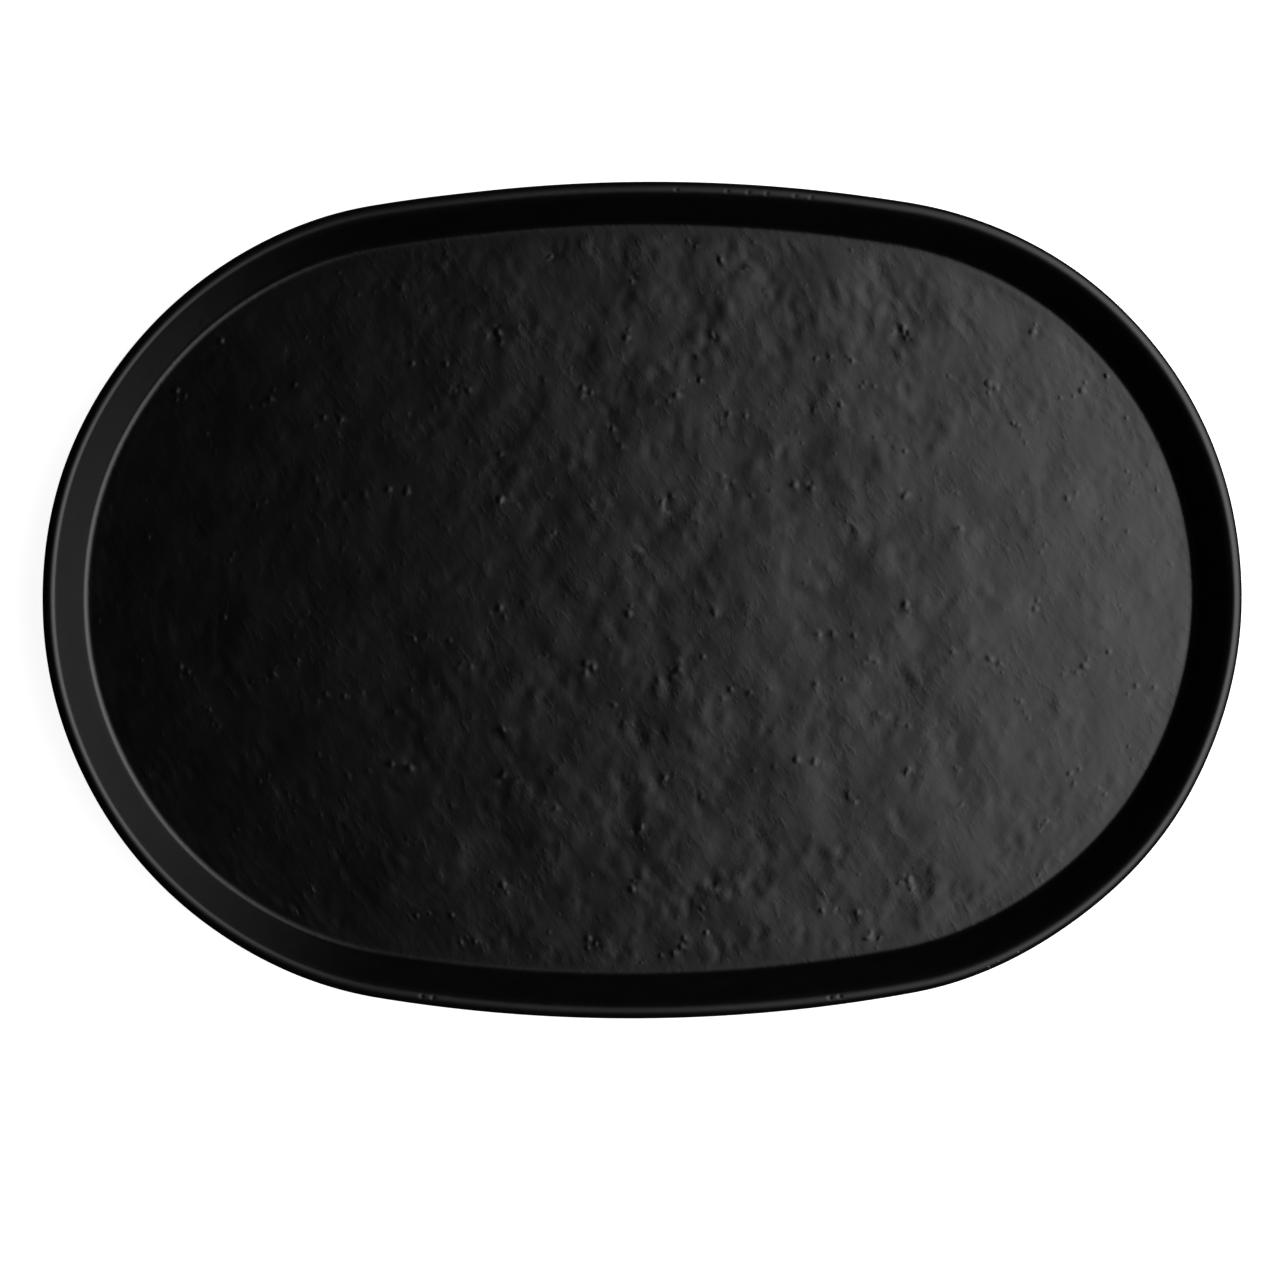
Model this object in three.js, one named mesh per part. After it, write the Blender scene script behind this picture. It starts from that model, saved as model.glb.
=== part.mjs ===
// An oval serving tray: one sheet metal pan whose rim is rolled over a wire, standing on felt pads.
// Sizes are in millimetres and +Z is up. The origin is the middle of the tray, on the surface that
// it stands on. +X runs along the tray, and -Y is its front.

import * as THREE from "three";

// The outline over the rim, seen from above: two long sides, each one flat arc, and two round ends.
const LENGTH = 430;
const WIDTH = 300;
const SIDE_RADIUS = 560;

// From the surface that the tray stands on to the top of its rim.
const HEIGHT = 25;

// The pan's sheet, and its wall, which leans outwards from the floor.
const SHEET = 1.2;
const WALL_SLOPE = THREE.MathUtils.degToRad(68); // above level
const FLOOR_FILLET = 3; // inner radius, where the wall turns into the floor

// The rim: the sheet rolls outwards and down over a wire, and stops short of the wall.
const WIRE_DIAMETER = 2.5;
const WIRE_CLEARANCE = 0.3; // between the wire and the sheet round it
const WIRE_JOINT = 0.5; // between the two ends of the wire, at the middle of the front
const LIP_GAP = 0.6; // between the rolled edge and the wall's outer face

// The felt pads stuck under the floor, one towards each corner.
const PAD_DIAMETER = 20;
const PAD_THICKNESS = 2;
const PAD_INSET = 24; // from the edge of the flat floor in to a pad's centre
const PAD_DIRECTION = THREE.MathUtils.degToRad(45); // from +X, on the round ends

// How finely the round shapes are faceted. The stations divide by 4, so each extreme has one.
const STATIONS = 96;
const FILLET_FACETS = 5;
const ROLL_FACETS = [3, 5, 6]; // wall to top, top to outermost point, and on to the lip
const WIRE_FACETS = 12;
const PAD_FACETS = 32;

// ---------------------------------------------------------------- the oval

// The outline is four arcs that run smoothly into each other. The side arcs turn about points on
// the Y axis, and the end arcs about points on the X axis.
const halfLength = LENGTH / 2;
const halfWidth = WIDTH / 2;
const endRadius =
  (2 * SIDE_RADIUS * halfWidth - halfLength ** 2 - halfWidth ** 2) /
  (2 * (SIDE_RADIUS - halfLength));
const endCentre = halfLength - endRadius;
const sideCentre = SIDE_RADIUS - halfWidth;
const sideTurn = Math.atan2(endCentre, sideCentre); // half of what a long side turns through

// The point of the outline that faces this direction, moved inwards by an inset.
function outlinePoint(direction, inset) {
  const facing = new THREE.Vector2(Math.cos(direction), Math.sin(direction));
  const onSide = Math.abs(facing.x) < Math.sin(sideTurn);
  const radius = (onSide ? SIDE_RADIUS : endRadius) - inset;
  const centre = onSide
    ? new THREE.Vector2(0, -sideCentre * Math.sign(facing.y))
    : new THREE.Vector2(endCentre * Math.sign(facing.x), 0);
  return centre.addScaledVector(facing, radius);
}

// The direction that the outline faces, a share of the way round it from the middle of the front.
function directionAt(share) {
  const halfSide = SIDE_RADIUS * sideTurn;
  const quarter = halfSide + endRadius * (Math.PI / 2 - sideTurn);
  const whole = Math.floor(share * 4);
  const towardsSide = whole % 2 === 1;
  const along = (share * 4 - whole) * quarter;
  const fromSide = towardsSide ? quarter - along : along;
  const turned =
    fromSide < halfSide ? fromSide / SIDE_RADIUS : sideTurn + (fromSide - halfSide) / endRadius;
  return (whole - 1) * (Math.PI / 2) + (towardsSide ? Math.PI / 2 - turned : turned);
}

// ---------------------------------------------------------------- the section of wall and rim

// In the section, x runs outwards and y up, and the rim's outermost point is at x = halfWidth.
const rollInside = WIRE_DIAMETER / 2 + WIRE_CLEARANCE;
const rollOutside = rollInside + SHEET;
const rollCentre = new THREE.Vector2(halfWidth - rollOutside, HEIGHT - rollOutside);
const floorTop = PAD_THICKNESS + SHEET;

// The wall touches the roll on one side and the fillet on the other, which fixes where it stands.
const filletHeight = floorTop + FLOOR_FILLET;
const wallReach = (rollCentre.y - filletHeight) * Math.cos(WALL_SLOPE);
const floorEdge =
  rollCentre.x - (rollOutside + FLOOR_FILLET + wallReach) / Math.sin(WALL_SLOPE);

// The roll starts where the wall's face meets it and ends at the lip.
const rollStart = Math.PI / 2 + WALL_SLOPE;
const rollEnd = rollStart + Math.acos((rollInside - LIP_GAP) / rollOutside) - 2 * Math.PI;

function arcPoints(centre, radius, from, to, facets) {
  const clockwise = to < from;
  const arc = new THREE.EllipseCurve(centre.x, centre.y, radius, radius, from, to, clockwise, 0);
  return arc.getPoints(facets);
}

// Points round the roll from the wall to the lip, with one right at the top and one outermost.
function rollPoints(radius) {
  const stops = [rollStart, Math.PI / 2, 0, rollEnd];
  return ROLL_FACETS.flatMap((facets, i) => {
    const arc = arcPoints(rollCentre, radius, stops[i], stops[i + 1], facets);
    return i === 0 ? arc : arc.slice(1); // the arcs share their ends
  });
}

// The pan's section, from the axis under the floor, round the roll and back over the floor.
function panSection() {
  const filletCentre = new THREE.Vector2(floorEdge, filletHeight);
  const down = -Math.PI / 2;
  const wallStart = down + WALL_SLOPE;
  return [
    new THREE.Vector2(0, PAD_THICKNESS),
    ...arcPoints(filletCentre, FLOOR_FILLET + SHEET, down, wallStart, FILLET_FACETS),
    ...rollPoints(rollInside),
    ...rollPoints(rollOutside).reverse(),
    ...arcPoints(filletCentre, FLOOR_FILLET, wallStart, down, FILLET_FACETS),
    new THREE.Vector2(0, floorTop),
  ];
}

// ---------------------------------------------------------------- the pieces

function makePiece(name, geometry, material) {
  const piece = new THREE.Mesh(geometry, material);
  piece.name = name;
  return piece;
}

// Turns the section into a round pan and then stretches that into the oval. Wall and rim keep
// their true section all the way round, and the floor's rings shrink evenly to the middle.
function makePan(material) {
  const section = panSection();
  const geometry = new THREE.LatheGeometry(section, STATIONS);
  const position = geometry.getAttribute("position");
  for (let i = 0; i < position.count; i++) {
    const direction = directionAt(Math.floor(i / section.length) / STATIONS);
    const { x, y: height } = section[i % section.length];
    const edgeShare = Math.min(x / floorEdge, 1);
    const point = outlinePoint(direction, halfWidth - Math.max(x, floorEdge));
    position.setXYZ(i, point.x * edgeShare, point.y * edgeShare, height);
  }
  geometry.computeVertexNormals();
  return makePiece("tray_pan", geometry, material);
}

// The middle line of the wire, from one side of its joint round to the other.
class WireLine extends THREE.Curve {
  getPoint(t, target = new THREE.Vector3()) {
    const length = 4 * (SIDE_RADIUS * sideTurn + endRadius * (Math.PI / 2 - sideTurn));
    const jointShare = WIRE_JOINT / length;
    const share = THREE.MathUtils.lerp(jointShare / 2, 1 - jointShare / 2, t);
    const point = outlinePoint(directionAt(share), rollOutside);
    return target.set(point.x, point.y, rollCentre.y);
  }
}

function makeWire(material) {
  const section = new THREE.Shape();
  section.absarc(0, 0, WIRE_DIAMETER / 2, 0, 2 * Math.PI, false);
  const geometry = new THREE.ExtrudeGeometry(section, {
    extrudePath: new WireLine(),
    steps: STATIONS,
    curveSegments: WIRE_FACETS / 2,
  });
  return makePiece("rim_wire", geometry, material);
}

function makePad(name, direction, material) {
  const centre = outlinePoint(direction, halfWidth - floorEdge + PAD_INSET);
  const radius = PAD_DIAMETER / 2;
  const geometry = new THREE.CylinderGeometry(radius, radius, PAD_THICKNESS, PAD_FACETS);
  geometry.rotateX(Math.PI / 2);
  geometry.translate(centre.x, centre.y, PAD_THICKNESS / 2);
  return makePiece(name, geometry, material);
}

// ---------------------------------------------------------------- the tray

const blackCoat = new THREE.MeshStandardMaterial({ color: 0x151516, roughness: 0.4, metalness: 0 });
const bareSteel = new THREE.MeshStandardMaterial({ color: 0x8d9094, roughness: 0.4, metalness: 1 });
const greyFelt = new THREE.MeshStandardMaterial({ color: 0x2c2c2e, roughness: 0.95, metalness: 0 });

const tray = new THREE.Group();
tray.name = "oval_tray";
tray.add(makePan(blackCoat));
tray.add(makeWire(bareSteel));
tray.add(makePad("pad_back_right", PAD_DIRECTION, greyFelt.clone()));
tray.add(makePad("pad_back_left", Math.PI - PAD_DIRECTION, greyFelt.clone()));
tray.add(makePad("pad_front_left", Math.PI + PAD_DIRECTION, greyFelt.clone()));
tray.add(makePad("pad_front_right", -PAD_DIRECTION, greyFelt.clone()));

export default tray;
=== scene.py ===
"""An oval serving tray in satin black: a sheet metal pan with a wired rim, on felt pads."""

import math
import random

import bmesh
import bpy
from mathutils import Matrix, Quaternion, Vector
from mathutils.kdtree import KDTree
from mathutils.noise import noise as wander


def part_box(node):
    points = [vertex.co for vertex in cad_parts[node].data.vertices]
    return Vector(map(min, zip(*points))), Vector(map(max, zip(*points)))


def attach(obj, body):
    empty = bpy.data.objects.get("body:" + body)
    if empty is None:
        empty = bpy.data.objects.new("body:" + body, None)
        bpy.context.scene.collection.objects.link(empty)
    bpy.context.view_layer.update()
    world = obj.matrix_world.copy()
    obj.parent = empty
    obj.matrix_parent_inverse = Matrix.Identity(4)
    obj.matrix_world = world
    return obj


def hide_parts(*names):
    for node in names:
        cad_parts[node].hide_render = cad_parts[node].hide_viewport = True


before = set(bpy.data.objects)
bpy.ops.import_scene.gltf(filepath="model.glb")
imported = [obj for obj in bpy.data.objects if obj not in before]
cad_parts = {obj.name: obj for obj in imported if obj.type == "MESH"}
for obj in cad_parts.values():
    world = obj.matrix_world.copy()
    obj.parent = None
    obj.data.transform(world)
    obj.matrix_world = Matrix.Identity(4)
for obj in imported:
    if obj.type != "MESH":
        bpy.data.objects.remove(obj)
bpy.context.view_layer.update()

MM = 0.001
UP = (0, 0, 1)
ALONG = (1, 0, 0)
TINY = 0.01 * MM

# Sizes read from the frame.
pan_low, pan_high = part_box("tray_pan")
wire_low, wire_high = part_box("rim_wire")
HALF_LENGTH = pan_high.x
HALF_WIDTH = pan_high.y
RIM_TOP = pan_high.z
FLOOR_UNDER = pan_low.z
WIRE_RADIUS = (wire_high.z - wire_low.z) / 2
PADS = ["pad_back_right", "pad_back_left", "pad_front_left", "pad_front_right"]

# Sizes of the sheet metal work, as the solids have them.
SIDE_RADIUS = 560 * MM
SHEET = 1.2 * MM
WALL_SLOPE = math.radians(68)
FLOOR_FILLET = 3 * MM
WIRE_CLEARANCE = 0.3 * MM
LIP_GAP = 0.6 * MM
WIRE_JOINT = 0.5 * MM

# How finely the sheet's section is stepped: the fillet and the roll, inside and outside.
FILLET_STEPS = 6
ROLL_STEPS = 16
ROLL_INNER_STEPS = 8
FILLET_UNDER_STEPS = 3
# How finely a quarter of the oval is stepped: along half a side, and round half an end.
SIDE_STEPS = 72
END_STEPS = 138
UNDER_SHARE = 4  # the underside has this many times fewer
FLOOR_GRID = {"span": 252, "offset": 108}
UNDER_GRID = {"span": 62, "offset": 0}
UNDER_INSET = 3 * MM
FINER_CUTS = 2  # how often a face is cut where nubs and dents need finer ones

# What the hand left in the work. The floor sits a little to the back left of the rim, and the
# rim was pushed in and out. A push is the direction that the rim faces there, and how far out.
FLOOR_SHIFT = Vector((-0.66, 0.63, 0)) * MM
SHIFT_REACH = 16 * MM
RIM_PUSHES = [
    (25, 0.6), (46, 0.65), (62, 0.4), (106, 0.75), (132, 0.5), (158, 0.6),
    (184, -0.1), (208, -0.5), (233, -0.45), (306, -0.95), (336, -0.45),
]
PUSH_REACH = 62 * MM

# Pairs of small dents in the front of the rim, where it was gripped, and knocks along its back:
# millimetres along the tray, and the share of the depth that each side has.
GRIP_DENTS = [-80.7, -76.9, 66.4, 69.8]
BACK_KNOCKS = [14.0, 32.2, 39.8, 46.2, 56.3, 62.4]
GRIP_SHARE = 1
KNOCK_SHARE = 0.6
DENT_DEPTH = 0.22 * MM
DENT_REACH = 1.3 * MM
DENT_FINER = 2.5  # faces are finer as far as this many reaches
DENT_INSET = 0.15  # in from the middle of the roll's top, as a share of its radius

# The floor's texture comes back at this distance along and across the tray, from this corner.
REPEAT = (147, 100)
CORNER = (-73, 49.5)
REPEATS = range(-1, 3)
# Where nubs gather in it, right of and below the corner, and how many. All in millimetres.
NUB_GATHERINGS = [
    (22, 12, 3), (39, 11, 2), (3, 23, 3), (84, 12, 3), (106, 6, 3), (120, 10, 2),
    (135, 9, 3), (91, 19, 2), (40, 25, 2), (72, 31, 2), (18, 53, 3), (69, 51, 2),
    (99, 53, 2), (52, 72, 3), (6, 73, 3), (15, 91, 3), (22, 96, 1), (64, 91, 3),
    (86, 75, 4), (95, 70, 2), (105, 82, 3), (130, 89, 3), (142, 62, 3), (118, 38, 1),
]
NUB_STRAY = 3.2
LONE_NUBS = 10
SMALL_KINDS = ["grain", "grain", "fine", "fine"]
NUB_KINDS = SMALL_KINDS + ["middling", "large"]
NUB_HEIGHT = {"grain": 0.08 * MM, "fine": 0.12 * MM, "middling": 0.17 * MM, "large": 0.22 * MM}
NUB_REACH = {"grain": 0.9 * MM, "fine": 1.1 * MM, "middling": 1.4 * MM, "large": 1.8 * MM}
NUB_MARGIN = 0.3 * MM
NUB_EDGE = 2 * MM
NUB_DRAW = 7

# The relief's layers: kind of noise, height, grain, how far and which way the grain is drawn out,
# the marks that it keeps to, and its detail.
ONE_OCTAVE = {"noise_depth": 0}
TWO_OCTAVES = {"noise_depth": 1}
ROUND_CELLS = {"distance_metric": "DISTANCE_SQUARED"}
RELIEF_LAYERS = {
    "broad_swell": ("CLOUDS", 0.95 * MM, 26 * MM, 1, 0, "floor", TWO_OCTAVES),
    "soft_swell": ("CLOUDS", 0.14 * MM, 9 * MM, 1.3, 30, "floor", ONE_OCTAVE),
    "hammer_marks": ("VORONOI", 0.13 * MM, 12 * MM, 1, 0, "floor", ROUND_CELLS),
    "slanting_ripple": ("CLOUDS", 0.54 * MM, 3.8 * MM, 1.6, 34, "rippled", TWO_OCTAVES),
    "fine_ripple": ("CLOUDS", 0.38 * MM, 2.1 * MM, 1.4, 28, "rippled", TWO_OCTAVES),
}
EDGE_FADE = 5 * MM
# Ripples gather in patches of this size. Between them they keep the least share, and the middle
# share is what an average place has. The relief is strongest a little right of the middle, and
# calms down to both ends.
RIPPLE_PATCH = 11 * MM
RIPPLE_LEAST = 0.12
RIPPLE_MIDDLE = 0.45
STRONGEST_AT = 35 * MM
CALM_FROM = 40 * MM
CALM_OVER = 100 * MM
CALM_SHARE = 0.5
# A long shallow sag across the floor, right of the middle.
SAG_ALONG = 75 * MM
SAG_ACROSS = range(-60, 91, 15)
SAG_DEPTH = 0.22 * MM
SAG_REACH = 48 * MM

SMOOTH_BELOW = math.radians(40)  # edges that turn less than this are shaded smooth


# ---------------------------------------------------------------- the oval

end_radius = (2 * SIDE_RADIUS * HALF_WIDTH - HALF_LENGTH**2 - HALF_WIDTH**2) / (
    2 * (SIDE_RADIUS - HALF_LENGTH)
)
end_centre = HALF_LENGTH - end_radius
side_centre = SIDE_RADIUS - HALF_WIDTH
side_turn = math.atan2(end_centre, side_centre)

floor_top = FLOOR_UNDER + SHEET
roll_inside = WIRE_RADIUS + WIRE_CLEARANCE
roll_outside = roll_inside + SHEET
# At the middle of the front, where the section is drawn, outwards is -Y.
roll_centre = Vector((0, roll_outside - HALF_WIDTH, RIM_TOP - roll_outside))
wall_facing = Vector((0, math.sin(WALL_SLOPE), math.cos(WALL_SLOPE)))
fillet_height = floor_top + FLOOR_FILLET
wall_reach = (roll_centre.z - fillet_height) * math.cos(WALL_SLOPE)
floor_edge = -roll_centre.y - (roll_outside + FLOOR_FILLET + wall_reach) / math.sin(WALL_SLOPE)
fillet_centre = Vector((0, -floor_edge, fillet_height))
roll_turn = 2 * math.pi - math.acos((roll_inside - LIP_GAP) / roll_outside)


def inside_floor(x, y):
    """How far a place lies inside the flat floor's edge; less than nothing outside it."""
    x, y = abs(x), abs(y)
    if math.atan2(x, y + side_centre) < side_turn:
        return SIDE_RADIUS - (HALF_WIDTH - floor_edge) - math.hypot(x, y + side_centre)
    return end_radius - (HALF_WIDTH - floor_edge) - math.hypot(x - end_centre, y)


def rim_point(direction, inset):
    """The place on the rim that faces a direction, this far in from its outer edge, and where
    it faces."""
    facing = Vector((math.cos(direction), math.sin(direction), 0))
    if abs(facing.x) < math.sin(side_turn):
        centre = Vector((0, -math.copysign(side_centre, facing.y), 0))
        return centre + facing * (SIDE_RADIUS - inset), facing
    centre = Vector((math.copysign(end_centre, facing.x), 0, 0))
    return centre + facing * (end_radius - inset), facing


# ---------------------------------------------------------------- bench tools


def nothing_selected():
    bpy.ops.object.select_all(action="DESELECT")


def take(piece):
    """Selects one piece alone and makes it the one that is worked on."""
    nothing_selected()
    piece.select_set(True)
    bpy.context.view_layer.objects.active = piece


def edit(piece, mode="VERT"):
    """Opens a piece for editing with nothing selected in it."""
    take(piece)
    bpy.ops.object.mode_set(mode="EDIT")
    bpy.ops.mesh.select_mode(type=mode)
    bpy.ops.mesh.select_all(action="DESELECT")


def close_edit():
    bpy.ops.object.mode_set(mode="OBJECT")


def pick(piece, kind, test):
    """Selects the vertices, edges or faces that pass a test."""
    mesh = bmesh.from_edit_mesh(piece.data)
    for item in getattr(mesh, kind):
        if test(item):
            item.select = True
    mesh.select_flush_mode()
    bmesh.update_edit_mesh(piece.data)


def chosen_point(piece):
    mesh = bmesh.from_edit_mesh(piece.data)
    return next(v.co.copy() for v in mesh.verts if v.select)


def first_point(name, place):
    """A new piece that is one point, open for editing."""
    nothing_selected()
    bpy.ops.mesh.primitive_plane_add(size=MM, location=place)
    bpy.ops.object.transform_apply(location=True)
    piece = bpy.context.object
    piece.name = name
    piece.data.name = name
    edit(piece)
    bpy.ops.mesh.select_all(action="SELECT")
    bpy.ops.mesh.merge(type="CENTER")
    return piece


def swing(angle, centre, steps, axis):
    """Spins the selection about an axis, anticlockwise when seen against it."""
    bpy.ops.mesh.spin(steps=steps, angle=-angle, center=centre, axis=axis)


def draw_to(piece, place):
    step = Vector(place) - chosen_point(piece)
    bpy.ops.mesh.extrude_region_move(TRANSFORM_OT_translate={"value": step})


def push(piece, places, move, reach):
    """Moves the points nearest to some places, and what lies within reach follows softly."""
    bpy.ops.mesh.select_all(action="DESELECT")
    mesh = bmesh.from_edit_mesh(piece.data)
    mesh.verts.ensure_lookup_table()
    points = search_tree([v.co for v in mesh.verts])
    for place in places:
        mesh.verts[points.find(place)[1]].select = True
    bmesh.update_edit_mesh(piece.data)
    bpy.ops.transform.translate(
        value=move, use_proportional_edit=True, proportional_edit_falloff="SMOOTH",
        proportional_size=reach,
    )


def search_tree(places):
    tree = KDTree(len(places))
    for i, place in enumerate(places):
        tree.insert(place, i)
    tree.balance()
    return tree


def refine_near(piece, spots):
    """Divides the faces round some spots more finely. Each is a list of places and a reach."""
    trees = [(search_tree(places), reach) for places, reach in spots]

    def near(face):
        middle = face.calc_center_median()
        return any(tree.find(middle)[2] < reach for tree, reach in trees)

    bpy.ops.mesh.select_all(action="DESELECT")
    bpy.ops.mesh.select_mode(type="FACE")
    pick(piece, "faces", near)
    bpy.ops.mesh.subdivide(number_cuts=FINER_CUTS, smoothness=0)
    bpy.ops.mesh.select_mode(type="VERT")


def apply_modifier(piece, kind, **settings):
    take(piece)
    modifier = piece.modifiers.new(kind.title(), kind)
    for key, value in settings.items():
        setattr(modifier, key, value)
    bpy.ops.object.modifier_apply(modifier=modifier.name)


def mirror(piece, along_too):
    """Completes a quarter, or a half, of the oval."""
    apply_modifier(piece, "MIRROR", use_axis=(True, along_too, False), merge_threshold=TINY)


def sweep_round(side_steps, end_steps):
    """Carries the selection round a quarter of the oval, from the front's middle to +X."""
    swing(side_turn, (0, side_centre, 0), side_steps, UP)
    swing(math.pi / 2 - side_turn, (end_centre, 0, 0), end_steps, UP)


def finish_piece(piece, node, material):
    """Sets a piece's finish, and puts it in the place of a solid of the frame."""
    piece.data.materials.clear()
    piece.data.materials.append(material)
    take(piece)
    bpy.ops.object.shade_smooth_by_angle(angle=SMOOTH_BELOW)
    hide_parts(node)
    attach(piece, "root")


def push_rim(piece, inset, height):
    """Gives pan and wire the same unevenness."""
    edit(piece)
    for direction, distance in RIM_PUSHES:
        place, facing = rim_point(math.radians(direction), inset)
        push(piece, [place + Vector((0, 0, height))], facing * distance * MM, PUSH_REACH)
    close_edit()


# ---------------------------------------------------------------- the pan


def draw_section(name):
    """The sheet's section at the front: up the inside, round the roll and down the outside."""
    pan = first_point(name, (0, -floor_edge, floor_top))
    swing(-WALL_SLOPE, fillet_centre, FILLET_STEPS, ALONG)
    draw_to(pan, roll_centre + wall_facing * roll_outside)
    swing(roll_turn, roll_centre, ROLL_STEPS, ALONG)
    lip = chosen_point(pan)
    draw_to(pan, lip + (roll_centre - lip).normalized() * SHEET)
    swing(-roll_turn, roll_centre, ROLL_INNER_STEPS, ALONG)
    draw_to(pan, fillet_centre - wall_facing * (FLOOR_FILLET + SHEET))
    swing(WALL_SLOPE, fillet_centre, FILLET_UNDER_STEPS, ALONG)
    return pan


def rim_of_sheet(height):
    """Tells the open edges that lie at a height."""

    def test(edge):
        return edge.is_boundary and all(abs(v.co.z - height) < TINY for v in edge.verts)

    return test


def shift_floor(pan):
    """Moves the floor's edge under the rim, and the wall leans to follow."""
    top = fillet_height - FLOOR_FILLET * math.sin(WALL_SLOPE) / 2
    edit(pan)
    pick(pan, "verts", lambda v: v.co.z < top)
    bpy.ops.transform.translate(
        value=FLOOR_SHIFT, use_proportional_edit=True, proportional_edit_falloff="SMOOTH",
        proportional_size=SHIFT_REACH,
    )
    close_edit()


def close_underside(pan):
    """Closes the underside with larger faces, on a ring of fewer points."""
    ring = first_point("under_ring", (0, UNDER_INSET - floor_edge, FLOOR_UNDER))
    sweep_round(SIDE_STEPS // UNDER_SHARE, END_STEPS // UNDER_SHARE)
    close_edit()
    mirror(ring, True)
    nothing_selected()
    ring.select_set(True)
    pan.select_set(True)
    bpy.context.view_layer.objects.active = pan
    bpy.ops.object.join()
    edit(pan, "EDGE")
    pick(pan, "edges", lambda e: rim_of_sheet(FLOOR_UNDER)(e) or e.is_wire)
    bpy.ops.mesh.bridge_edge_loops()
    bpy.ops.mesh.select_all(action="DESELECT")
    pick(pan, "edges", rim_of_sheet(FLOOR_UNDER))
    bpy.ops.mesh.fill_grid(**UNDER_GRID)
    close_edit()


def close_floor(pan):
    """Closes the floor with an even net of quads, its corners on the four diagonals."""
    edit(pan, "EDGE")
    pick(pan, "edges", rim_of_sheet(floor_top))
    bpy.ops.mesh.fill_grid(**FLOOR_GRID)
    close_edit()


def dent_rim(pan):
    """The small dents along the front of the rim, and the knocks along its back."""
    edit(pan)
    for places, side, share in ((GRIP_DENTS, -1, GRIP_SHARE), (BACK_KNOCKS, 1, KNOCK_SHARE)):
        spots = []
        for along in places:
            direction = side * math.acos(along * MM / SIDE_RADIUS)
            place, facing = rim_point(direction, roll_outside)
            spots.append(place - facing * roll_outside * DENT_INSET + Vector((0, 0, RIM_TOP)))
        refine_near(pan, [(spots, DENT_FINER * DENT_REACH)])
        push(pan, spots, (0, 0, -DENT_DEPTH * share), DENT_REACH)
    close_edit()


# ---------------------------------------------------------------- the floor's relief


def nub_places():
    """Where the floor's small nubs stand, sorted by kind. The pattern comes back all over."""
    chance = random.Random(NUB_DRAW)
    nubs = []
    for across, down, count in NUB_GATHERINGS:
        for i in range(count):
            stray = NUB_STRAY if i else 0
            place = (across + chance.gauss(0, stray), down + chance.gauss(0, stray))
            nubs.append((*place, chance.choice(NUB_KINDS)))
    for _ in range(LONE_NUBS):
        place = (chance.uniform(0, REPEAT[0]), chance.uniform(0, REPEAT[1]))
        nubs.append((*place, chance.choice(SMALL_KINDS)))
    places = {kind: [] for kind in NUB_HEIGHT}
    for column in REPEATS:
        for row in REPEATS:
            for across, down, kind in nubs:
                x = (CORNER[0] + across + column * REPEAT[0]) * MM
                y = (CORNER[1] - down - row * REPEAT[1]) * MM
                if inside_floor(x, y) > NUB_EDGE:
                    places[kind].append(Vector((x, y, floor_top)))
    return places


def raise_nubs(pan):
    """Pulls each nub up out of the floor."""
    nubs = nub_places()
    edit(pan)
    refine_near(pan, [(nubs[kind], NUB_REACH[kind] + NUB_MARGIN) for kind in nubs])
    for kind, places in nubs.items():
        push(pan, places, (0, 0, NUB_HEIGHT[kind]), NUB_REACH[kind])
    close_edit()


def between(value):
    """Keeps a share from falling below nothing or rising above all."""
    return max(0.0, min(1.0, value))


def mark_floor(pan):
    """Marks the floor, fading out at its edge, and in it the patches where ripples gather."""
    floor = pan.vertex_groups.new(name="floor")
    rippled = pan.vertex_groups.new(name="rippled")
    for v in pan.data.vertices:
        share = between(inside_floor(v.co.x, v.co.y) / EDGE_FADE)
        if share > 0 and v.co.z < fillet_height:
            share = share * share * (3 - 2 * share)
            away = abs(v.co.x - STRONGEST_AT)
            share *= 1 - CALM_SHARE * between((away - CALM_FROM) / CALM_OVER)
            gathered = max(RIPPLE_LEAST, between(RIPPLE_MIDDLE + wander(v.co / RIPPLE_PATCH)))
            floor.add([v.index], share, "REPLACE")
            rippled.add([v.index], share * gathered, "REPLACE")


def roughen(piece, name, kind, height, grain, stretch, slant, group, settings):
    """Moves a surface up and down by a noise of this grain, drawn out along a line."""
    line = bpy.data.objects.new(name, None)
    bpy.context.collection.objects.link(line)
    line.rotation_euler = (0, 0, math.radians(slant))
    line.scale = (1, stretch, 1)
    bpy.context.view_layer.update()
    noise = bpy.data.textures.new(name, kind)
    noise.noise_scale = grain
    for key, value in settings.items():
        setattr(noise, key, value)
    apply_modifier(
        piece, "DISPLACE", texture=noise, texture_coords="OBJECT", texture_coords_object=line,
        direction="Z", strength=height, mid_level=0.5, vertex_group=group,
    )
    bpy.data.objects.remove(line)


def sag_floor(pan):
    """Lets the floor sag along a line across it."""
    edit(pan)
    places = [Vector((SAG_ALONG, across * MM, floor_top)) for across in SAG_ACROSS]
    push(pan, places, (0, 0, -SAG_DEPTH), SAG_REACH)
    close_edit()


def shape_floor(pan):
    mark_floor(pan)
    for name, layer in RELIEF_LAYERS.items():
        roughen(pan, name, *layer)


def build_pan():
    pan = draw_section("tray_body")
    bpy.ops.mesh.select_all(action="SELECT")
    sweep_round(SIDE_STEPS, END_STEPS)
    close_edit()
    mirror(pan, True)
    dent_rim(pan)
    shift_floor(pan)
    close_floor(pan)
    raise_nubs(pan)
    close_underside(pan)
    sag_floor(pan)
    shape_floor(pan)
    push_rim(pan, 0, roll_centre.z)
    return pan


# ---------------------------------------------------------------- the wire in the rim

WIRE_SIDES = 16
WIRE_SIDE_STEPS = 36
WIRE_END_STEPS = 120
WIRE_CHAMFER = 0.2 * MM
CHAMFER_STEPS = 2


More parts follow.
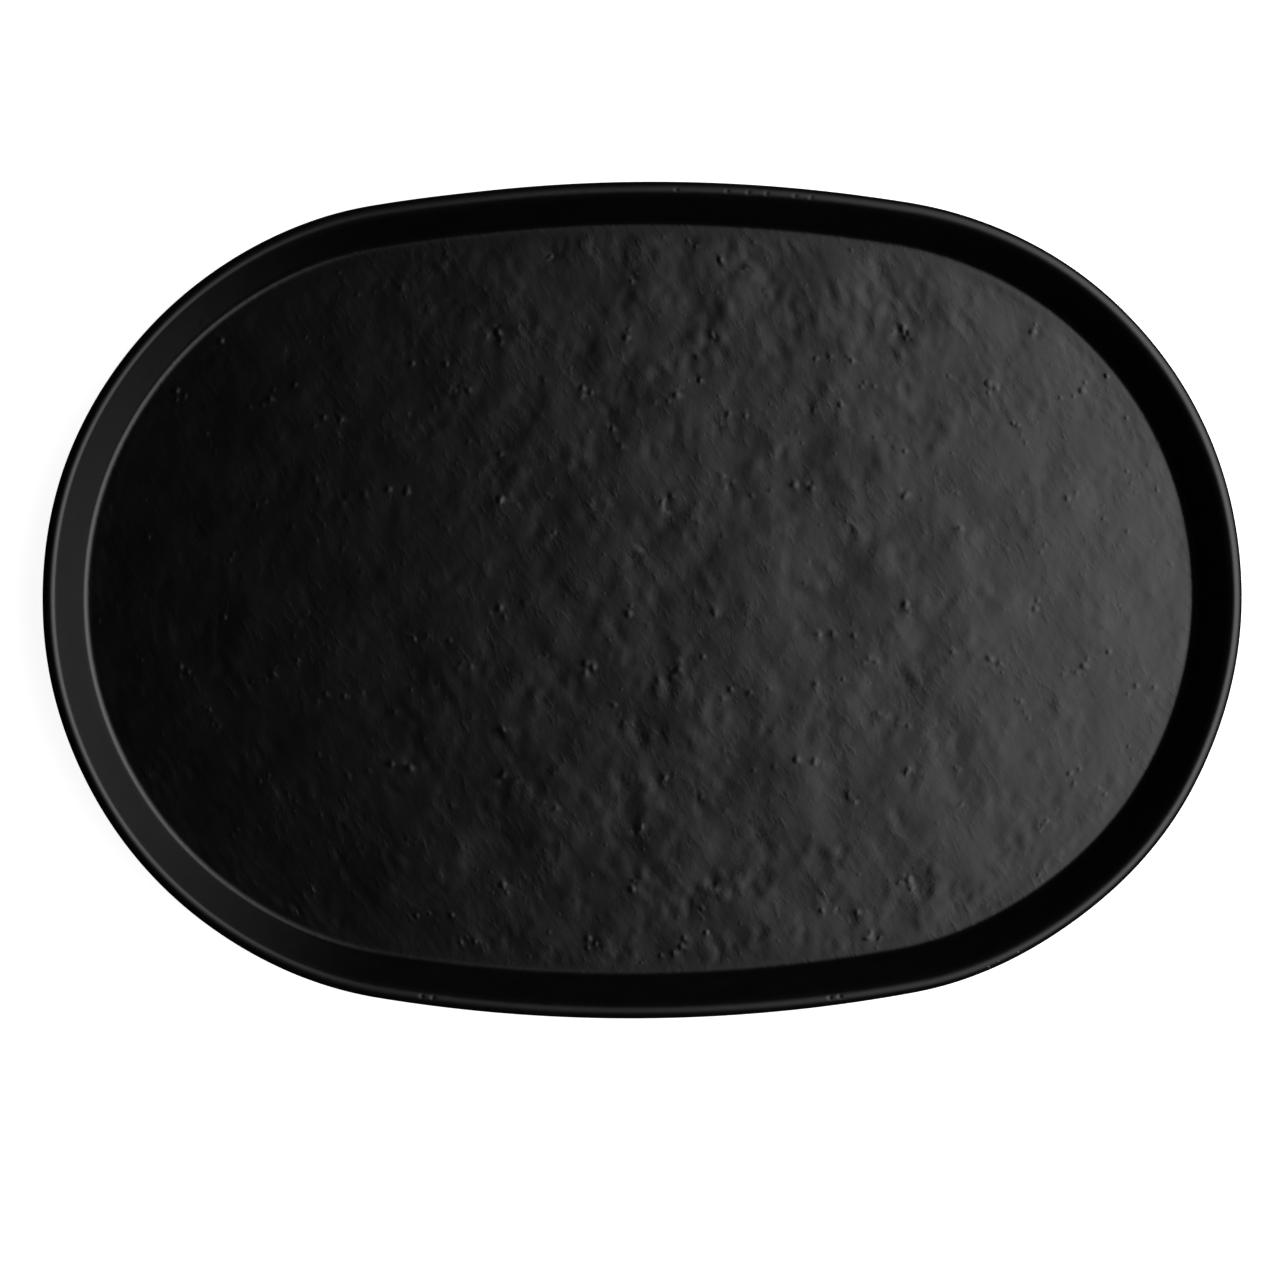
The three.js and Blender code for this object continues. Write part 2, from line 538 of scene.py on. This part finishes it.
def build_wire():
    """One loop of drawn wire, cut and left open by a hair at the middle of the front."""
    start = WIRE_JOINT / 2
    nothing_selected()
    bpy.ops.mesh.primitive_circle_add(
        vertices=WIRE_SIDES, radius=WIRE_RADIUS, location=(start, roll_centre.y, roll_centre.z),
        rotation=(0, math.pi / 2, 0),
    )
    bpy.ops.object.transform_apply(location=True, rotation=True)
    wire = bpy.context.object
    wire.name = "rim_wire_loop"
    wire.data.name = wire.name
    edit(wire)
    bpy.ops.mesh.select_all(action="SELECT")
    swing(side_turn - start / SIDE_RADIUS, (0, side_centre, 0), WIRE_SIDE_STEPS, UP)
    swing(math.pi - 2 * side_turn, (end_centre, 0, 0), WIRE_END_STEPS, UP)
    swing(side_turn, (0, -side_centre, 0), WIRE_SIDE_STEPS, UP)
    close_edit()
    mirror(wire, False)
    edit(wire, "EDGE")
    pick(wire, "edges", lambda e: e.is_boundary)
    bpy.ops.mesh.fill_holes(sides=0)
    bpy.ops.mesh.select_all(action="DESELECT")
    pick(wire, "edges", lambda e: any(len(f.verts) > 4 for f in e.link_faces))
    bpy.ops.mesh.bevel(offset=WIRE_CHAMFER, segments=CHAMFER_STEPS, affect="EDGES")
    bpy.ops.mesh.select_all(action="SELECT")
    bpy.ops.mesh.normals_make_consistent(inside=False)
    close_edit()
    push_rim(wire, roll_outside, roll_centre.z)
    return wire


# ---------------------------------------------------------------- the felt pads

PAD_SIDES = 48
PAD_RINGS = 4
PAD_EDGE = 0.45 * MM
PAD_EDGE_STEPS = 3
LOFT_GRAIN = 0.9 * MM
LOFT_DEPTH = 0.3 * MM


def build_pad(node):
    """A disc punched from felt: its faces ringed by insets, its cut edge rounded."""
    low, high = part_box(node)
    radius = (high.x - low.x) / 2
    nothing_selected()
    bpy.ops.mesh.primitive_cylinder_add(
        vertices=PAD_SIDES, radius=radius, depth=high.z - low.z, location=(low + high) / 2,
    )
    bpy.ops.object.transform_apply(location=True)
    pad = bpy.context.object
    edit(pad, "EDGE")
    pick(pad, "edges", lambda e: any(len(f.verts) > 4 for f in e.link_faces))
    bpy.ops.mesh.bevel(offset=PAD_EDGE, segments=PAD_EDGE_STEPS, affect="EDGES")
    bpy.ops.mesh.select_all(action="DESELECT")
    bpy.ops.mesh.select_mode(type="FACE")
    pick(pad, "faces", lambda f: len(f.verts) > 4)
    for _ in range(PAD_RINGS):
        bpy.ops.mesh.inset(thickness=radius / (PAD_RINGS + 1), use_individual=True)
    bpy.ops.mesh.poke()
    close_edit()
    apply_modifier(pad, "SUBSURF", levels=1, render_levels=1, subdivision_type="SIMPLE")
    return pad


def copy_pad(pad, node, first_node):
    """The same pad under another corner, with a mesh of its own."""
    copy = pad.copy()
    copy.data = pad.data.copy()
    bpy.context.collection.objects.link(copy)
    copy.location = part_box(node)[0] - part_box(first_node)[0]
    take(copy)
    bpy.ops.object.transform_apply(location=True)
    return copy


def soften_pad(pad):
    """Presses the felt's faces in a little, unevenly."""
    noise = bpy.data.textures.new("felt_loft", "CLOUDS")
    noise.noise_scale = LOFT_GRAIN
    apply_modifier(
        pad, "DISPLACE", texture=noise, texture_coords="LOCAL", direction="NORMAL",
        strength=LOFT_DEPTH, mid_level=1,
    )


def build_pads():
    """The four pads, each under the name of the solid it stands for."""
    first = build_pad(PADS[0])
    pads = {PADS[0]: first}
    for node in PADS[1:]:
        pads[node] = copy_pad(first, node, PADS[0])
    for node, pad in pads.items():
        pad.name = "felt_" + node
        pad.data.name = pad.name
        soften_pad(pad)
    return pads


# ---------------------------------------------------------------- materials


SPECK_FULL = 0.9  # the share of the chosen specks that is at full strength


class Finish:
    """A material under way: its shader, and short ways to add patterns to it."""

    def __init__(self, name, **sockets):
        self.material = bpy.data.materials.new(name)
        self.material.use_nodes = True
        self.nodes = self.material.node_tree.nodes
        self.links = self.material.node_tree.links
        self.shader = self.nodes["Principled BSDF"]
        self.place = self.nodes.new("ShaderNodeTexCoord").outputs["Object"]
        for socket, value in sockets.items():
            self.shader.inputs[socket.replace("_", " ")].default_value = value

    def feed(self, socket, value):
        """Links a pattern to a socket, or sets a plain value on it."""
        if isinstance(value, bpy.types.NodeSocket):
            self.links.new(value, socket)
        else:
            socket.default_value = value

    def laid(self, scale, turn=0):
        """The piece's own coordinates, turned and drawn out."""
        node = self.nodes.new("ShaderNodeMapping")
        node.vector_type = "TEXTURE"
        node.inputs["Scale"].default_value = scale
        node.inputs["Rotation"].default_value = (0, 0, turn)
        self.feed(node.inputs["Vector"], self.place)
        return node.outputs["Vector"]

    def noise(self, grain, detail, roughness, where=None):
        """Cloudy noise whose patches are about one grain across."""
        node = self.nodes.new("ShaderNodeTexNoise")
        node.inputs["Scale"].default_value = 1 / grain
        node.inputs["Detail"].default_value = detail
        node.inputs["Roughness"].default_value = roughness
        self.feed(node.inputs["Vector"], where or self.place)
        return node.outputs["Fac"]

    def specks(self, spacing, share, size, core=0.6):
        """Scattered round specks, flat over a core: some of the cells of a net hold one."""
        node = self.nodes.new("ShaderNodeTexVoronoi")
        node.inputs["Scale"].default_value = 1 / spacing
        self.feed(node.inputs["Vector"], self.place)
        split = self.nodes.new("ShaderNodeSeparateColor")
        self.feed(split.inputs["Color"], node.outputs["Color"])
        near = self.spread(node.outputs["Distance"], size / spacing, core * size / spacing, 0, 1)
        chosen = self.spread(split.outputs["Red"], 1 - share, 1 - SPECK_FULL * share, 0, 1)
        return self.combine("MULTIPLY", near, chosen)

    def spread(self, value, low, high, low_to, high_to):
        """Carries a stretch of values over to another, and no further."""
        node = self.nodes.new("ShaderNodeMapRange")
        for socket, number in zip(node.inputs[1:5], (low, high, low_to, high_to)):
            socket.default_value = number
        self.feed(node.inputs["Value"], value)
        return node.outputs["Result"]

    def combine(self, operation, first, second):
        """Adds, multiplies or compares two values."""
        node = self.nodes.new("ShaderNodeMath")
        node.operation = operation
        self.feed(node.inputs[0], first)
        self.feed(node.inputs[1], second)
        return node.outputs["Value"]

    def mix(self, share, first, second):
        """Goes from the first colour to the second where the share rises."""
        node = self.nodes.new("ShaderNodeMix")
        node.data_type = "RGBA"
        self.feed(node.inputs["Factor"], share)
        self.feed(node.inputs["A"], first)
        self.feed(node.inputs["B"], second)
        return node.outputs["Result"]

    def bump(self, height, distance, below=None):
        """A pattern's height as a bump this deep, on top of the one below."""
        node = self.nodes.new("ShaderNodeBump")
        node.inputs["Distance"].default_value = distance
        self.feed(node.inputs["Height"], height)
        if below:
            self.feed(node.inputs["Normal"], below)
        return node.outputs["Normal"]

    def height_of_place(self):
        node = self.nodes.new("ShaderNodeSeparateXYZ")
        self.feed(node.inputs["Vector"], self.place)
        return node.outputs["Z"]

    def near(self, place, reach):
        """One at a place, and fading to nothing at its reach."""
        node = self.nodes.new("ShaderNodeVectorMath")
        node.operation = "DISTANCE"
        self.feed(node.inputs[0], self.place)
        node.inputs[1].default_value = place
        return self.spread(node.outputs["Value"], 0, reach, 1, 0)

    def paint(self, socket, value):
        self.feed(self.shader.inputs[socket], value)


COAT_BLACK = (0.0020, 0.0020, 0.0021, 1)
COAT_WORN = (0.0034, 0.0034, 0.0036, 1)
WORN_GRAIN = 9 * MM
DUST = (0.05, 0.05, 0.052, 1)
DUST_SPACING = 6 * MM
DUST_SHARE = 0.12
DUST_SIZE = 0.16 * MM

# The floor's slanting streaks, the creases among them that gather in patches, and the nibs.
STREAK_GRAIN = 2.5 * MM
STREAK_LENGTH = 2.0
STREAK_SLANT = math.radians(34)
STREAK_DEPTH = 0.040 * MM
CREASE_FROM = 0.52
CREASE_FULL = 0.82
CREASE_PATCH = 13 * MM
NIB_SPACING = 6 * MM
NIB_SHARE = 0.4
NIB_SIZE = 1.0 * MM
NIB_CORE = 0.1
FLOOR_COAT = 0.5 * MM  # the floor's own pattern is whole up to here above it
FLOOR_COAT_ENDS = 1.2 * MM
# Orange peel and fine grain all over.
PEEL_GRAIN = 0.9 * MM
PEEL_DEPTH = 0.0035 * MM
FINE_GRAIN = 0.22 * MM
FINE_DEPTH = 0.0012 * MM

# The gloss is a little cloudy, wiped duller in slanting strokes, and rubbed along the rim.
COAT_ROUGHNESS = 0.224
GLOSSIER = 0.015
DULLER = 0.02
CLOUD_GRAIN = 28 * MM
WIPED_GRAIN = 7 * MM
WIPED_LENGTH = 14
WIPED_SLANT = math.radians(-35)
WIPED_DULLER = 0.03
RIM_RUBBED = 0.09
RUBBED_GRAIN = 2.5 * MM
RUBBED_FROM = 3.5 * MM  # below the rim's top
RUBBED_WHOLE = 2 * MM

# Chips on the outer side of the rim, at the front right: millimetres along, across and up.
PRIMER = (0.24, 0.23, 0.20, 1)
PRIMER_DULLER = 0.4
CHIPPED_PLACES = [(113.5, -135.6), (114.8, -135.3), (122.7, -132.3), (126.4, -130.4), (133.3, -127.3)]
CHIP_HEIGHT = 24.4
CHIP_REACH = 1.3 * MM
CHIP_GRAIN = 0.7 * MM


def coat_relief(coat, height):
    """The bump of the coat: streaks, creases and nibs on the floor, peel and grain all over."""
    on_floor = coat.spread(height, floor_top + FLOOR_COAT, floor_top + FLOOR_COAT_ENDS, 1, 0)
    slant = coat.laid(scale=(1, STREAK_LENGTH, 1), turn=STREAK_SLANT)
    streaks = coat.noise(STREAK_GRAIN, 2, 0.5, slant)
    creases = coat.spread(streaks, CREASE_FROM, CREASE_FULL, 0, 1)
    patches = coat.spread(coat.noise(CREASE_PATCH, 2, 0.5), 0.42, 0.62, 0.1, 1)
    creases = coat.combine("MULTIPLY", creases, patches)
    streaks = coat.combine("ADD", streaks, creases)
    nibs = coat.specks(NIB_SPACING, NIB_SHARE, NIB_SIZE, NIB_CORE)
    streaks = coat.combine("ADD", streaks, nibs)
    streaks = coat.combine("MULTIPLY", streaks, on_floor)
    peel = coat.noise(PEEL_GRAIN, 1, 0.4)
    grain = coat.noise(FINE_GRAIN, 1, 0.5)
    surface = coat.bump(streaks, STREAK_DEPTH)
    surface = coat.bump(peel, PEEL_DEPTH, surface)
    return coat.bump(grain, FINE_DEPTH, surface)


def coat_gloss(coat, height):
    """The roughness of the coat, before its chips."""
    cloudy = coat.noise(CLOUD_GRAIN, 3, 0.6)
    rough = coat.spread(cloudy, 0.3, 0.7, COAT_ROUGHNESS - GLOSSIER, COAT_ROUGHNESS + DULLER)
    strokes = coat.laid(scale=(WIPED_LENGTH, 1, 1), turn=WIPED_SLANT)
    wiped = coat.noise(WIPED_GRAIN, 4, 0.7, strokes)
    rough = coat.combine("ADD", rough, coat.spread(wiped, 0.62, 0.74, 0, WIPED_DULLER))
    rubbed = coat.spread(height, RIM_TOP - RUBBED_FROM, RIM_TOP - RUBBED_WHOLE, 0, 1)
    uneven = coat.spread(coat.noise(RUBBED_GRAIN, 4, 0.7), 0.3, 0.7, 0.7, 1.3)
    rubbed = coat.combine("MULTIPLY", rubbed, uneven)
    return coat.combine("ADD", rough, coat.combine("MULTIPLY", rubbed, RIM_RUBBED))


def coat_chips(coat):
    """Where the coat has flaked off the rim: ragged spots round the chipped places."""
    chips = 0
    for place in CHIPPED_PLACES:
        chip = coat.near(Vector((*place, CHIP_HEIGHT)) * MM, CHIP_REACH)
        chips = coat.combine("MAXIMUM", chip, chips)
    flaking = coat.combine("ADD", chips, coat.noise(CHIP_GRAIN, 3, 0.6))
    flaked = coat.spread(flaking, 1.22, 1.32, 0, 1)
    return coat.combine("MULTIPLY", flaked, coat.spread(chips, 0, 0.1, 0, 1))


def coat_material():
    """A baked satin coat: orange peel, fine grain, soft streaks, dust, scuffs and rim chips."""
    coat = Finish("satin_black_coat", IOR=1.5)
    height = coat.height_of_place()
    coat.paint("Normal", coat_relief(coat, height))
    rough = coat_gloss(coat, height)
    worn = coat.spread(coat.noise(WORN_GRAIN, 4, 0.6), 0.35, 0.75, 0, 1)
    colour = coat.mix(worn, COAT_BLACK, COAT_WORN)
    colour = coat.mix(coat.specks(DUST_SPACING, DUST_SHARE, DUST_SIZE), colour, DUST)
    chipped = coat_chips(coat)
    colour = coat.mix(chipped, colour, PRIMER)
    rough = coat.combine("ADD", rough, coat.combine("MULTIPLY", chipped, PRIMER_DULLER))
    coat.paint("Base Color", colour)
    coat.paint("Roughness", rough)
    return coat.material


STEEL = (0.42, 0.43, 0.45, 1)
STEEL_FILM = (0.28, 0.28, 0.29, 1)
RUST = (0.11, 0.045, 0.02, 1)
RUST_MOST = 0.7
STEEL_ROUGHNESS = 0.32
RUST_ROUGHNESS = 0.8
DRAW_LINE = 0.12 * MM
DRAW_LINE_DEPTH = 0.01 * MM


def wire_material():
    """Bare drawn steel: fine draw lines, a grey film and a little rust."""
    steel = Finish("drawn_steel", Metallic=1.0)
    film = steel.noise(6 * MM, 4, 0.6)
    rust = steel.spread(steel.noise(3 * MM, 5, 0.7), 0.62, 0.72, 0, RUST_MOST)
    colour = steel.mix(steel.spread(film, 0.3, 0.7, 0, 1), STEEL, STEEL_FILM)
    colour = steel.mix(rust, colour, RUST)
    steel.paint("Base Color", colour)
    rough = steel.spread(rust, 0, RUST_MOST, STEEL_ROUGHNESS, RUST_ROUGHNESS)
    steel.paint("Roughness", rough)
    lines = steel.noise(DRAW_LINE, 2, 0.5, steel.laid(scale=(1, 1, 0.5)))
    steel.paint("Normal", steel.bump(lines, DRAW_LINE_DEPTH))
    return steel.material


WOOL_DARK = (0.022, 0.022, 0.024, 1)
WOOL = (0.05, 0.05, 0.054, 1)
WOOL_FLECK = (0.11, 0.11, 0.115, 1)
MATTED_GRAIN = 0.5 * MM
MATTED_DEPTH = 0.12 * MM
FIBRE = 0.12 * MM
FIBRE_LENGTH = 3
FIBRE_DEPTH = 0.05 * MM
FIBRE_TURNS = (math.radians(40), math.radians(15))


def felt_material():
    """Pressed wool felt: matted fibres, flecks of lighter wool and a soft bloom."""
    felt = Finish("pressed_felt", Sheen_Weight=0.18, Sheen_Roughness=0.6, Specular_IOR_Level=0.2)
    matted = felt.noise(MATTED_GRAIN, 5, 0.7)
    fibres = felt.noise(FIBRE, 3, 0.6, felt.laid((FIBRE_LENGTH, 1, 1), FIBRE_TURNS[0]))
    crossing = felt.noise(FIBRE, 3, 0.6, felt.laid((1, FIBRE_LENGTH, 1), FIBRE_TURNS[1]))
    both = felt.combine("MAXIMUM", fibres, crossing)
    colour = felt.mix(felt.spread(matted, 0.3, 0.7, 0, 1), WOOL_DARK, WOOL)
    colour = felt.mix(felt.spread(both, 0.66, 0.78, 0, 0.6), colour, WOOL_FLECK)
    felt.paint("Base Color", colour)
    felt.paint("Roughness", felt.spread(matted, 0.3, 0.7, 0.85, 1.0))
    surface = felt.bump(matted, MATTED_DEPTH)
    felt.paint("Normal", felt.bump(both, FIBRE_DEPTH, surface))
    return felt.material


# ---------------------------------------------------------------- the studio

CAMERA_HEIGHT = 1.7
SENSOR_WIDTH = 36
VIEW_WIDTH = 458.85 * MM
VIEW_MIDDLE = (-0.9 * MM, -14.3 * MM)
VIEW_TURN = math.radians(-0.57)
SOFTBOX_PLACE = Vector((0.584, 0.087, 0.575))
SOFTBOX_TURN = math.radians(-19.0)
SOFTBOX_SIZE = (3.71, 2.54)
SOFTBOX_FALL = 1.94
SOFTBOX_RADIANCE = 3.31
ROOM_LEVEL = 0.006
PAPER_LEVEL = 0.9
PAPER_SPAN = 8
PAPER_WHITE = (0.8, 0.8, 0.8, 1)
PAPER_GLOW = 0.93


def add_camera():
    """Looks straight down on the tray, which lies turned by a hair."""
    data = bpy.data.cameras.new("overhead")
    data.sensor_width = SENSOR_WIDTH
    data.lens = data.sensor_width * CAMERA_HEIGHT / VIEW_WIDTH
    camera = bpy.data.objects.new("overhead", data)
    camera.location = (*VIEW_MIDDLE, roll_centre.z + CAMERA_HEIGHT)
    camera.rotation_euler = (0, 0, VIEW_TURN)
    bpy.context.collection.objects.link(camera)
    bpy.context.scene.camera = camera


def add_floor():
    """White paper that glows as if it were lit evenly, and doesn't show in the coat."""
    nothing_selected()
    bpy.ops.mesh.primitive_plane_add(size=PAPER_SPAN, location=(0, 0, 0))
    floor = bpy.context.object
    floor.name = "studio_floor"
    paper = Finish(
        "white_paper", Base_Color=PAPER_WHITE, Roughness=0.9, Specular_IOR_Level=0,
        Emission_Color=(1, 1, 1, 1), Emission_Strength=PAPER_GLOW,
    )
    floor.data.materials.append(paper.material)
    floor.visible_glossy = False


def fade_light(data):
    """Makes a light brightest in its middle, and lets it fade out towards its edges."""
    data.use_nodes = True
    nodes, links = data.node_tree.nodes, data.node_tree.links
    spot = nodes.new("ShaderNodeNewGeometry")
    flat = nodes.new("ShaderNodeVectorMath")
    flat.operation = "MULTIPLY"
    flat.inputs[1].default_value = (1, 1, 0)
    from_middle = nodes.new("ShaderNodeVectorMath")
    from_middle.operation = "DISTANCE"
    from_middle.inputs[1].default_value = (0.5, 0.5, 0)
    fade = nodes.new("ShaderNodeMapRange")
    fade.interpolation_type = "SMOOTHSTEP"
    fade.inputs["From Max"].default_value = 0.5
    fade.inputs["To Min"].default_value = 1
    fade.inputs["To Max"].default_value = 0
    fall = nodes.new("ShaderNodeMath")
    fall.operation = "POWER"
    fall.inputs[1].default_value = SOFTBOX_FALL
    level = nodes.new("ShaderNodeMath")
    level.operation = "MULTIPLY"
    level.inputs[1].default_value = SOFTBOX_RADIANCE
    links.new(spot.outputs["Parametric"], flat.inputs[0])
    links.new(flat.outputs["Vector"], from_middle.inputs[0])
    links.new(from_middle.outputs["Value"], fade.inputs["Value"])
    links.new(fade.outputs["Result"], fall.inputs[0])
    links.new(fall.outputs["Value"], level.inputs[0])
    links.new(level.outputs["Value"], nodes["Emission"].inputs["Strength"])


def add_softbox():
    """One large soft light over the right of the tray."""
    data = bpy.data.lights.new("softbox", "AREA")
    data.shape = "RECTANGLE"
    data.size, data.size_y = SOFTBOX_SIZE
    data.energy = math.pi * SOFTBOX_SIZE[0] * SOFTBOX_SIZE[1]
    fade_light(data)
    light = bpy.data.objects.new("softbox", data)
    light.location = SOFTBOX_PLACE
    aim = (-SOFTBOX_PLACE).to_track_quat("-Z", "Y") @ Quaternion(UP, SOFTBOX_TURN)
    light.rotation_euler = aim.to_euler()
    light.visible_camera = False
    bpy.context.collection.objects.link(light)


def add_world():
    """A dark room, which the camera sees as white."""
    world = bpy.data.worlds.new("studio")
    world.use_nodes = True
    nodes, links = world.node_tree.nodes, world.node_tree.links
    path = nodes.new("ShaderNodeLightPath")
    level = nodes.new("ShaderNodeMapRange")
    level.inputs["To Min"].default_value = ROOM_LEVEL
    level.inputs["To Max"].default_value = PAPER_LEVEL
    links.new(path.outputs["Is Camera Ray"], level.inputs["Value"])
    links.new(level.outputs["Result"], nodes["Background"].inputs["Strength"])
    bpy.context.scene.world = world


# ---------------------------------------------------------------- putting it together

pan = build_pan()
finish_piece(pan, "tray_pan", coat_material())
finish_piece(build_wire(), "rim_wire", wire_material())
felt = felt_material()
for node, pad in build_pads().items():
    finish_piece(pad, node, felt)

add_camera()
add_floor()
add_softbox()
add_world()
bpy.context.scene.view_settings.view_transform = "Standard"
